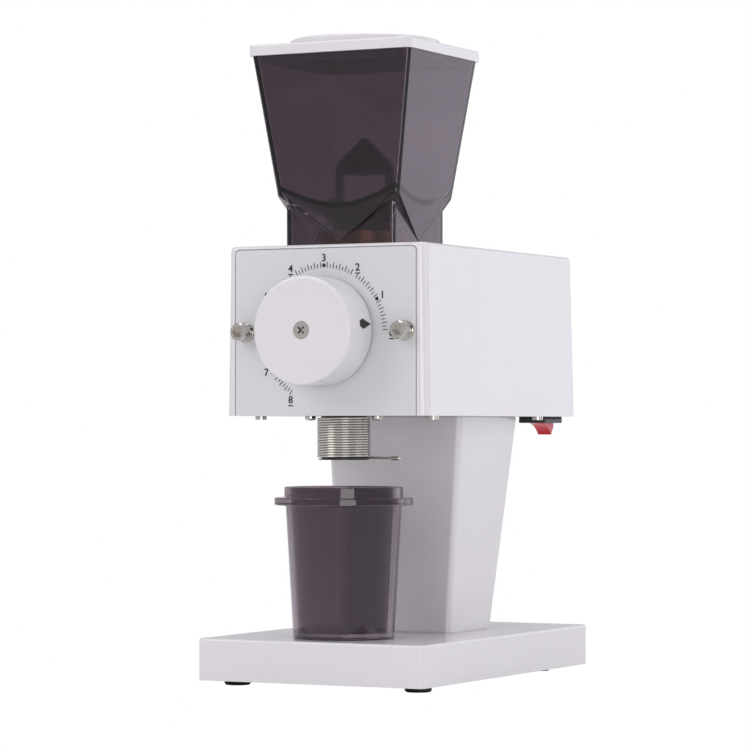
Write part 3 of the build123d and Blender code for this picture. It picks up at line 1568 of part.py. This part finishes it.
with BuildPart() as switch_frame:
    with BuildSketch(Plane.XY.offset(bezel_face)):
        with Locations((switch_x, switch_y)):
            RectangleRounded(bezel_width, bezel_length, 0.8)
    extrude(amount=bezel_thickness)
    fillet(switch_frame.edges().group_by(Axis.Z)[0], 0.5)
    with BuildSketch(Plane.XY.offset(gasket_low)):
        with Locations((switch_x, switch_y)):
            Rectangle(switch_body_width, switch_body_length)
    extrude(amount=switch_body_height)
    with BuildSketch(Plane.XY.offset(bezel_face)):
        with Locations((switch_x, switch_y)):
            Rectangle(switch_room_width, switch_room_length)
    extrude(amount=switch_room_depth, mode=Mode.SUBTRACT)
    with BuildSketch(rocker_axis):
        Circle(rocker_pin_radius + running)
    extrude(amount=rocker_pin_reach + 0.1, both=True, mode=Mode.SUBTRACT)
    with BuildSketch(Plane.XY.offset(body_top)):
        with Locations((switch_x, switch_y)):
            with GridLocations(0, 2 * spade_offset, 1, 2):
                Rectangle(spade_width, spade_sheet)
    extrude(amount=-spade_seat, mode=Mode.SUBTRACT)
switch_frame.part.label = "switch_frame"
export_step(switch_frame.part, "parts/switch_frame.step")

with BuildPart() as rocker:
    with BuildSketch(rocker_plane):
        with BuildLine():
            ThreePointArc(
                (-rocker_tip_half, -rocker_tip_drop),
                (0, rocker_dish - rocker_tip_drop),
                (rocker_tip_half, -rocker_tip_drop),
            )
            Polyline(
                (rocker_tip_half, -rocker_tip_drop),
                (rocker_half_length, 0),
                (rocker_top_half, rocker_top),
                (-rocker_top_half, rocker_top),
                (-rocker_half_length, 0),
                (-rocker_tip_half, -rocker_tip_drop),
            )
        make_face()
    extrude(amount=rocker_width / 2, both=True)
    with BuildSketch(rocker_axis):
        Circle(rocker_pin_radius)
    extrude(amount=rocker_pin_reach, both=True)
rocker.part.label = "rocker"
export_step(rocker.part, "parts/rocker.step")

with BuildPart() as switch_terminals:
    with BuildSketch(Plane.XY.offset(body_top - spade_seat)):
        with Locations((switch_x, switch_y)):
            with GridLocations(0, 2 * spade_offset, 1, 2):
                Rectangle(spade_width, spade_sheet)
    extrude(amount=spade_seat + spade_length)
switch_terminals.part.label = "switch_terminals"
export_step(switch_terminals.part, "parts/switch_terminals.step")

# ---------------------------------------------------------------- cable gland in the base
gland_reach = base_wall + gland_nut_height + 2.0


def gland_plane(inwards):
    """Plane square to the gland, this far inside the base's rear face, facing forwards."""
    return Plane(
        origin=(0, base_back - inwards, gland_height), x_dir=(1, 0, 0), z_dir=(0, -1, 0)
    )


with BuildPart() as cable_gland:
    with BuildSketch(gland_plane(-gland_flange)):
        Circle(gland_flange_radius)
    extrude(amount=gland_flange)
    chamfer(cable_gland.edges().group_by(Axis.Y)[-1], 0.5)
    with BuildSketch(gland_plane(0)):
        Circle(gland_barrel_radius)
    extrude(amount=gland_reach)
    with BuildSketch(gland_plane(-gland_flange)):
        Circle(gland_bore)
    extrude(amount=gland_flange + gland_reach, mode=Mode.SUBTRACT)
cable_gland.part.label = "cable_gland"
export_step(cable_gland.part, "parts/cable_gland.step")

with BuildPart() as gland_nut:
    with BuildSketch(gland_plane(base_wall)):
        RegularPolygon(gland_nut_flats / 2, 6, major_radius=False)
        Circle(gland_barrel_radius + thread_slip, mode=Mode.SUBTRACT)
    extrude(amount=gland_nut_height)
gland_nut.part.label = "gland_nut"
export_step(gland_nut.part, "parts/gland_nut.step")
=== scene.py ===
# %% [markdown]
# # A compact burr coffee grinder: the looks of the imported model
#
# The grinder stands on a flat base. A column carries a white box housing, with a large knob and a
# printed scale in front and a smoked hopper on top. Its solid pieces come ready made from the
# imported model, in metres, with +Z up and the knob facing -Y. This script gives every piece its
# finish, prints the scale and the knob's pointer, and sets the floor, the light and the camera.

import json
import math

import bpy
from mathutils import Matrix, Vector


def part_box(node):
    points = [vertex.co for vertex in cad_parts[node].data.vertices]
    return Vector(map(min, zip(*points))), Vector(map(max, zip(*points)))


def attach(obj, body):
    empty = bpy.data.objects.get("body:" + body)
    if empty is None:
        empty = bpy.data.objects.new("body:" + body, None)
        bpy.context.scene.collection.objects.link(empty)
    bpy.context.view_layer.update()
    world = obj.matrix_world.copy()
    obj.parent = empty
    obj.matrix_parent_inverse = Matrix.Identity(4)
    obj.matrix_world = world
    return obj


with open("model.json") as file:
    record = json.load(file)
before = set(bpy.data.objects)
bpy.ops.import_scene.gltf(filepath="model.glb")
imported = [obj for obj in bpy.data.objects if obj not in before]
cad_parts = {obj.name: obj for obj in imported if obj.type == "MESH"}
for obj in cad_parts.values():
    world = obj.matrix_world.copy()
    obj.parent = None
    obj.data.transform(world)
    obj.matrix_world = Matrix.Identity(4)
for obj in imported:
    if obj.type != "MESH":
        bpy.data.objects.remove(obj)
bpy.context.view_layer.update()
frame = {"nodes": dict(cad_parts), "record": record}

# %% [markdown]
# ## Places that the prints need
#
# The scale is printed round the knob's axis on the front plate, and the pointer on the knob's
# side. Typed places would stay behind if the knob or the plate changed, so both are measured on
# the two nodes that carry them.

# %% Measure the knob and the front plate
knob_low, knob_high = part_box("adjusting_knob")
axis_x = (knob_low[0] + knob_high[0]) / 2
axis_z = (knob_low[2] + knob_high[2]) / 2
knob_radius = (knob_high[0] - knob_low[0]) / 2
plate_low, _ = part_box("dial_plate")
plate_face = plate_low[1]
print("knob axis at", round(axis_x, 5), round(axis_z, 5), "radius", round(knob_radius, 5))

# %% [markdown]
# ## One effect for all finishes
#
# Moulded plastic, paint and turned metal differ in colour and gloss, but all of them vary a little
# over their surface: the tone drifts, the gloss is uneven, and a fine grain breaks the highlights.
# Each material could hold its own noise nodes. One node group with named sockets does the same
# with less to read, and each material places it with its own values. The group reads Object
# coordinates, so the pattern stays on its piece when the piece moves.

# %% A helper that makes a shader node group
bump_depth = 0.0002  # height of the grain at full strength, in metres


def new_group(name, inputs, outputs):
    """A shader node group with these sockets, and its group input and output nodes."""
    group = bpy.data.node_groups.new(name, "ShaderNodeTree")
    for socket, kind, value in inputs:
        made = group.interface.new_socket(socket, in_out="INPUT", socket_type=kind)
        if value is not None:
            made.default_value = value
    for socket, kind in outputs:
        group.interface.new_socket(socket, in_out="OUTPUT", socket_type=kind)
    return group, group.nodes.new("NodeGroupInput"), group.nodes.new("NodeGroupOutput")


# %% The group itself
surface_inputs = [
    ("Dark", "NodeSocketColor", None),
    ("Light", "NodeSocketColor", None),
    ("Patch scale", "NodeSocketFloat", 40.0),
    ("Grain scale", "NodeSocketFloat", 900.0),
    ("Grain height", "NodeSocketFloat", 0.05),
    ("Rough low", "NodeSocketFloat", 0.3),
    ("Rough high", "NodeSocketFloat", 0.4),
]
surface_outputs = [
    ("Color", "NodeSocketColor"),
    ("Roughness", "NodeSocketFloat"),
    ("Normal", "NodeSocketVector"),
]


def surface_group():
    """Mottled colour, uneven roughness and a fine grain, all from object coordinates."""
    group, start, end = new_group("surface_detail", surface_inputs, surface_outputs)
    nodes, links = group.nodes, group.links
    place = nodes.new("ShaderNodeTexCoord")
    patches = nodes.new("ShaderNodeTexNoise")
    patches.inputs["Detail"].default_value = 3.0
    grain = nodes.new("ShaderNodeTexNoise")
    grain.inputs["Detail"].default_value = 2.0
    mix = nodes.new("ShaderNodeMix")
    mix.data_type = "RGBA"
    spread = nodes.new("ShaderNodeMapRange")
    bump = nodes.new("ShaderNodeBump")
    bump.inputs["Distance"].default_value = bump_depth
    links.new(place.outputs["Object"], patches.inputs["Vector"])
    links.new(place.outputs["Object"], grain.inputs["Vector"])
    links.new(start.outputs["Patch scale"], patches.inputs["Scale"])
    links.new(start.outputs["Grain scale"], grain.inputs["Scale"])
    links.new(patches.outputs["Fac"], mix.inputs["Factor"])
    links.new(start.outputs["Dark"], mix.inputs["A"])
    links.new(start.outputs["Light"], mix.inputs["B"])
    links.new(patches.outputs["Fac"], spread.inputs["Value"])
    links.new(start.outputs["Rough low"], spread.inputs["To Min"])
    links.new(start.outputs["Rough high"], spread.inputs["To Max"])
    links.new(grain.outputs["Fac"], bump.inputs["Height"])
    links.new(start.outputs["Grain height"], bump.inputs["Strength"])
    links.new(mix.outputs["Result"], end.inputs["Color"])
    links.new(spread.outputs["Result"], end.inputs["Roughness"])
    links.new(bump.outputs["Normal"], end.inputs["Normal"])
    return group


detail = surface_group()
print("node group:", detail.name, "with", len(detail.nodes), "nodes")

# %% [markdown]
# ## From the effect to a material
#
# A finish is a Principled shader, fed by the group with colour, roughness and normal. Values that
# are the same all over a surface, such as how metallic it is, are set on the shader's own sockets,
# where an exported model keeps them.


# %% A helper that makes one finish
def material(name, color, vary=0.06, rough=(0.3, 0.4), grain=(900.0, 0.05), patch=40.0, **sockets):
    """A finish: vary is the drift of the tone, rough the range of roughness, and grain its scale
    and height. Further values go to the shader's sockets of that name."""
    made = bpy.data.materials.new(name)
    made.use_nodes = True
    nodes, links = made.node_tree.nodes, made.node_tree.links
    shader = nodes["Principled BSDF"]
    effect = nodes.new("ShaderNodeGroup")
    effect.node_tree = detail
    grain_scale, grain_height = grain
    rough_low, rough_high = rough
    effect.inputs["Dark"].default_value = [c * (1 - vary) for c in color] + [1.0]
    effect.inputs["Light"].default_value = [min(c * (1 + vary), 1.0) for c in color] + [1.0]
    effect.inputs["Patch scale"].default_value = patch
    effect.inputs["Grain scale"].default_value = grain_scale
    effect.inputs["Grain height"].default_value = grain_height
    effect.inputs["Rough low"].default_value = rough_low
    effect.inputs["Rough high"].default_value = rough_high
    for socket in ("Roughness", "Normal"):
        links.new(effect.outputs[socket], shader.inputs[socket])
    links.new(effect.outputs["Color"], shader.inputs["Base Color"])
    for socket, value in sockets.items():
        shader.inputs[socket.replace("_", " ")].default_value = value
    return made


finishes = {}

# %% [markdown]
# ## White shell and front plate
#
# The base, column, housing, knob and lid are glossy white with a slightly pink cast. A thin clear
# coat gives the sharp highlight of the gloss over a softer white. The front plate is satin and a
# little cooler, so it has more roughness and no coat.

# %% White and plate
finishes["white"] = material(
    "gloss_white",
    color=(0.735, 0.715, 0.735),
    vary=0.015,
    rough=(0.16, 0.24),
    grain=(500.0, 0.03),
    patch=25.0,
    Coat_Weight=0.3,
)
finishes["plate"] = material(
    "satin_plate", color=(0.66, 0.67, 0.68), vary=0.02, rough=(0.32, 0.42), grain=(1500.0, 0.06)
)

# %% [markdown]
# ## Metals
#
# Rolled sheet, plated screws and springs, ground burrs and shafts, cast alloy and turned brass
# are all fully metallic. What tells them apart is the tone, how rough they are, and how strong the
# grain is: almost none on plating, and a clear one on a casting. The windings are varnished
# copper wire.

# %% Steels
finishes["sheet_steel"] = material(
    "rolled_sheet",
    color=(0.50, 0.50, 0.52),
    vary=0.08,
    rough=(0.35, 0.5),
    grain=(800.0, 0.08),
    Metallic=1.0,
)
finishes["screw_steel"] = material(
    "plated_steel",
    color=(0.60, 0.57, 0.53),
    vary=0.1,
    rough=(0.12, 0.2),
    grain=(300.0, 0.008),
    Metallic=1.0,
)
finishes["tool_steel"] = material(
    "ground_steel",
    color=(0.42, 0.42, 0.43),
    vary=0.1,
    rough=(0.25, 0.4),
    grain=(1500.0, 0.1),
    Metallic=1.0,
)

# %% Cast alloy, brass and copper windings
finishes["cast_aluminium"] = material(
    "cast_aluminium",
    color=(0.62, 0.62, 0.64),
    vary=0.08,
    rough=(0.4, 0.6),
    grain=(600.0, 0.2),
    Metallic=1.0,
)
finishes["brass"] = material(
    "turned_brass", color=(0.62, 0.40, 0.22), vary=0.1, rough=(0.2, 0.35), Metallic=1.0
)
finishes["winding"] = material(
    "varnished_winding",
    color=(0.45, 0.17, 0.07),
    vary=0.2,
    rough=(0.25, 0.4),
    grain=(700.0, 0.4),
    Metallic=1.0,
)

# %% [markdown]
# ## Plastics, rubber and ink
#
# The chute, the switch frame and some inner pieces are dark moulded plastic, and the feet and
# seals are rubber, which is rougher. The rocker is glossy red. The hopper, its guard and the cup
# are smoked plastic: light passes through them and is tinted at each wall, so a tint of medium
# depth looks dark where two walls lie behind each other. The scale is printed in black ink.

# %% Opaque plastics, rubber and ink
finishes["black_plastic"] = material(
    "black_plastic", color=(0.018, 0.017, 0.02), vary=0.2, rough=(0.3, 0.42), grain=(1400.0, 0.12)
)
finishes["black_rubber"] = material(
    "black_rubber", color=(0.016, 0.016, 0.017), vary=0.25, rough=(0.6, 0.75), grain=(900.0, 0.2)
)
finishes["red"] = material(
    "red_gloss", color=(0.55, 0.004, 0.018), vary=0.08, rough=(0.12, 0.2), grain=(900.0, 0.03)
)
ink = material(
    "black_print", color=(0.01, 0.01, 0.011), vary=0.3, rough=(0.45, 0.6), grain=(1500.0, 0.1)
)

# %% Smoked plastic
finishes["smoked"] = material(
    "smoked_plastic",
    color=(0.25, 0.185, 0.228),
    vary=0.03,
    rough=(0.03, 0.07),
    grain=(300.0, 0.01),
    patch=20.0,
    Transmission_Weight=1.0,
    IOR=1.49,
)

# %% [markdown]
# ## Each node gets its finish
#
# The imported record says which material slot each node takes, so no list of nodes is needed here.

# %% Put the finishes on the nodes
for entry in frame["record"]["subparts"]:
    node = frame["nodes"][entry["node"]]
    node.data.materials.clear()
    node.data.materials.append(finishes[entry["material_slot"]])

# %% [markdown]
# ## Printed scale
#
# The plate carries a scale from 0 to 8, counted anticlockwise from the right, with ten divisions
# between numbers. Odd numbers have a dot and even ones a short stroke below them. Print could be a
# pattern in the plate's material. Thin pieces of ink on the plate stay sharp from close by, and an
# export keeps them, so each mark is a small solid that stands 0.12 mm proud.
# The scale's middle lies a little left of and below the knob's axis.

# %% Sizes of the print
print_height = 0.00012
scale_x = axis_x - 0.0003
scale_z = axis_z - 0.0013
number_step = 30  # degrees
divisions = 10
last_number = 8
tick_start = 0.0320  # radius at the inner ends of the ticks
tick_long = 0.0028
tick_short = 0.0019
tick_width = 0.00035
dot_place = 0.0332
dot_radius = 0.00095
dot_sides = 32
number_place = 0.0367
number_size = 0.0050
number_weight = 0.00008  # how far the outline of a numeral is thickened
stroke_drop = 0.0027
stroke_length = 0.0027
stroke_width = 0.00052


# %% Helpers: join pieces, and name and dress the result
def clear_selection():
    bpy.ops.object.select_all(action="DESELECT")


def joined(parts):
    """The parts as one mesh at the origin."""
    clear_selection()
    for part in parts:
        part.select_set(True)
    bpy.context.view_layer.objects.active = parts[0]
    bpy.ops.object.join()
    bpy.ops.object.transform_apply(location=True, rotation=True, scale=True)
    return bpy.context.view_layer.objects.active


def dress(piece, name, look, body):
    """Names a finished piece and gives it its material, body and slot."""
    piece.name = name
    piece.data.name = name
    piece.data.materials.clear()
    piece.data.materials.append(look)
    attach(piece, body)
    print(name, "has", len(piece.data.polygons), "faces")


# %% Helpers: a place on the scale, and one printed bar
def on_scale(radius, degrees):
    """Point on the plate's face at this radius, counted anticlockwise from the right."""
    turn = math.radians(degrees)
    return (scale_x + radius * math.cos(turn), plate_face, scale_z + radius * math.sin(turn))


def bar(place, length, width, degrees):
    """One printed bar on the plate, turned by these degrees."""
    bpy.ops.mesh.primitive_cube_add(size=1.0, location=place)
    made = bpy.context.view_layer.objects.active
    made.scale = (length, 2 * print_height, width)
    made.rotation_euler = (0, -math.radians(degrees), 0)
    return made


# %% Ticks, dots and strokes
marks = []
for index in range(last_number * divisions + 1):
    if index % divisions == 0:
        continue
    degrees = index * number_step / divisions
    length = tick_long if index % 2 else tick_short
    marks.append(bar(on_scale(tick_start + length / 2, degrees), length, tick_width, degrees))
for number in range(last_number + 1):
    degrees = number * number_step
    if number % 2:
        bpy.ops.mesh.primitive_cylinder_add(
            vertices=dot_sides,
            radius=dot_radius,
            depth=2 * print_height,
            location=on_scale(dot_place, degrees),
            rotation=(math.pi / 2, 0, 0),
        )
        marks.append(bpy.context.view_layer.objects.active)
    else:
        across, face, up = on_scale(number_place, degrees)
        marks.append(bar((across, face, up - stroke_drop), stroke_length, stroke_width, 0))
dress(joined(marks), "scale_marks", ink, "body")

# %% [markdown]
# ## Numbers of the scale
#
# Text objects give the numerals. They stand upright round the scale, as on a clock, and each is
# made a mesh before its place is applied, because text has no mesh of its own to place.

# %% Numerals
numerals = []
for number in range(last_number + 1):
    bpy.ops.object.text_add(location=on_scale(number_place, number * number_step))
    numeral = bpy.context.view_layer.objects.active
    numeral.data.body = str(number)
    numeral.data.size = number_size
    numeral.data.extrude = print_height
    numeral.data.offset = number_weight
    numeral.data.align_x = "CENTER"
    numeral.data.align_y = "CENTER"
    numeral.rotation_euler = (math.pi / 2, 0, 0)
    clear_selection()
    numeral.select_set(True)
    bpy.context.view_layer.objects.active = numeral
    bpy.ops.object.convert(target="MESH")
    numerals.append(bpy.context.view_layer.objects.active)
dress(joined(numerals), "scale_numerals", ink, "body")

# %% [markdown]
# ## Pointer on the knob
#
# A black pointer is printed on the side of the knob, wide towards the front and sharp at the
# plate. A flat shape would cut into the round side, so rows of three points follow the curve, a
# hair above it. It rides on the knob and turns with it.

# %% Sizes of the pointer
pointer_turn = math.radians(6.8)
pointer_length = 0.0110
pointer_half = 0.0026  # half of its greatest width
pointer_widest = 0.3  # where along its length it is widest
pointer_blunt = 0.5  # width of its front end as a share of the widest
pointer_back = knob_high[1] - 0.0006
pointer_lift = 0.00008
pointer_rows = 12
pointer_reach = knob_radius + pointer_lift


def pointer_half_at(share):
    """Half of the pointer's width at this share of its length from the front."""
    if share > pointer_widest:
        return pointer_half * (1 - share) / (1 - pointer_widest)
    return pointer_half * (pointer_blunt + (1 - pointer_blunt) * share / pointer_widest)


# %% Points and faces of the pointer
points = []
for row in range(pointer_rows + 1):
    share = row / pointer_rows
    along = pointer_back - pointer_length * (1 - share)
    for side in (-1, 0, 1):
        turn = pointer_turn + side * pointer_half_at(share) / knob_radius
        across = axis_x + pointer_reach * math.cos(turn)
        points.append((across, along, axis_z + pointer_reach * math.sin(turn)))
faces = []
for row in range(pointer_rows):
    for side in (0, 1):
        first = row * 3 + side
        faces.append((first, first + 3, first + 4, first + 1))
pointer_mesh = bpy.data.meshes.new("knob_pointer")
pointer_mesh.from_pydata(points, [], faces)
pointer = bpy.data.objects.new("knob_pointer", pointer_mesh)
bpy.context.scene.collection.objects.link(pointer)
dress(pointer, "knob_pointer", ink, "knob")

# %% [markdown]
# ## Floor
#
# The floor is white where the camera sees it, with no edge or horizon. More light would make it
# white too, but would wash out the white housing. So Light Path parts the two: the camera sees a
# plain white, and all other rays meet a pale, soft surface that throws some light back up.

# %% Make the floor
floor_size = 6.0
floor_drop = 0.0005  # below the feet
floor_tone = (0.86, 0.86, 0.87, 1)
pure_white = (1, 1, 1, 1)


def plain_white(name):
    """White to the camera, a soft pale surface to everything else."""
    made = bpy.data.materials.new(name)
    made.use_nodes = True
    nodes, links = made.node_tree.nodes, made.node_tree.links
    nodes.remove(nodes["Principled BSDF"])
    pale = nodes.new("ShaderNodeBsdfDiffuse")
    pale.inputs["Color"].default_value = floor_tone
    shine = nodes.new("ShaderNodeEmission")
    shine.inputs["Color"].default_value = pure_white
    path = nodes.new("ShaderNodeLightPath")
    mix = nodes.new("ShaderNodeMixShader")
    links.new(path.outputs["Is Camera Ray"], mix.inputs["Fac"])
    links.new(pale.outputs["BSDF"], mix.inputs[1])
    links.new(shine.outputs["Emission"], mix.inputs[2])
    links.new(mix.outputs["Shader"], nodes["Material Output"].inputs["Surface"])
    return made


bpy.ops.mesh.primitive_plane_add(size=floor_size, location=(0, 0, -floor_drop))
floor = bpy.context.view_layer.objects.active
floor.name = "floor"
floor.data.materials.append(plain_white("floor_white"))

# %% [markdown]
# ## Light from all round
#
# The world does the same: pure white behind the object, and an even, faintly violet light on it.

# %% Make the world
around_tone = (0.97, 0.95, 1.0, 1)
around_strength = 0.60

world = bpy.data.worlds.new("studio")
bpy.context.scene.world = world
world.use_nodes = True
nodes, links = world.node_tree.nodes, world.node_tree.links
nodes.clear()
seen = nodes.new("ShaderNodeBackground")
seen.inputs["Color"].default_value = pure_white
seen.inputs["Strength"].default_value = 1.0
around = nodes.new("ShaderNodeBackground")
around.inputs["Color"].default_value = around_tone
around.inputs["Strength"].default_value = around_strength
path = nodes.new("ShaderNodeLightPath")
mix = nodes.new("ShaderNodeMixShader")
end = nodes.new("ShaderNodeOutputWorld")
links.new(path.outputs["Is Camera Ray"], mix.inputs["Fac"])
links.new(around.outputs["Background"], mix.inputs[1])
links.new(seen.outputs["Background"], mix.inputs[2])
links.new(mix.outputs["Shader"], end.inputs["Surface"])

# %% [markdown]
# ## Lamps
#
# Large soft lamps model the white shapes without hard shadows. The key comes from the left front,
# and others from the right and from above. A low one from the right front lights the column under
# the housing, and one from behind on the right shows in the hopper's side as a pale sheen. A lamp
# low on the left front would show in the hopper's front instead, and grey it. A lamp can be seen
# through the smoked plastic, as the low one is from behind on the left when the hopper is lifted.

# %% Place the lamps
aim = (0.0, 0.0, 0.16)


def soft_light(name, place, width, height, watts, color=(1, 1, 1)):
    """An area light that looks at the middle of the object."""
    bpy.ops.object.light_add(type="AREA", location=place)
    lamp = bpy.context.view_layer.objects.active
    lamp.name = name
    lamp.data.shape = "RECTANGLE"
    lamp.data.size = width
    lamp.data.size_y = height
    lamp.data.energy = watts
    lamp.data.color = color
    across, along, rise = (a - p for a, p in zip(aim, place))
    tilt = math.atan2(math.hypot(across, along), -rise)
    heading = math.atan2(along, across) - math.pi / 2
    lamp.rotation_euler = (tilt, 0, heading)
    print(name, watts, "W at", place)


soft_light("key_light", place=(-0.9, -1.3, 1.1), width=0.9, height=0.9, watts=7.5)
soft_light("low_fill_light", place=(1.0, -1.5, 0.12), width=0.8, height=0.5, watts=4.5)
soft_light("right_light", place=(1.6, 0.1, 0.7), width=0.9, height=1.2, watts=4.0)
soft_light(
    "rear_right_light",
    place=(1.0, 1.9, 0.35),
    width=1.3,
    height=1.3,
    watts=4.8,
    color=(0.90, 0.87, 1.0),
)
soft_light("top_light", place=(0.0, 0.1, 1.6), width=1.0, height=1.0, watts=8.0)

# %% [markdown]
# ## Camera
#
# The camera stands level, a little below the underside of the housing, and looks from the right
# front. Tilting it up would make the upright edges lean, so the lens shift frames the object.

# %% Place the camera
camera_turn = math.radians(27.18)
camera_distance = 1.659
camera_height = 0.1256
camera_centre_y = -0.0004  # the point that the camera circles
camera_data = bpy.data.cameras.new("camera")
camera_data.sensor_width = 36.0
camera_data.lens = 158.4
camera_data.shift_x = -0.0284
camera_data.shift_y = 0.0707
camera_data.clip_start = 0.05
camera = bpy.data.objects.new("camera", camera_data)
camera.location = (
    camera_distance * math.sin(camera_turn),
    camera_centre_y - camera_distance * math.cos(camera_turn),
    camera_height,
)
camera.rotation_euler = (math.pi / 2, 0, camera_turn)
bpy.context.scene.collection.objects.link(camera)
bpy.context.scene.camera = camera
bpy.context.scene.view_settings.view_transform = "Standard"
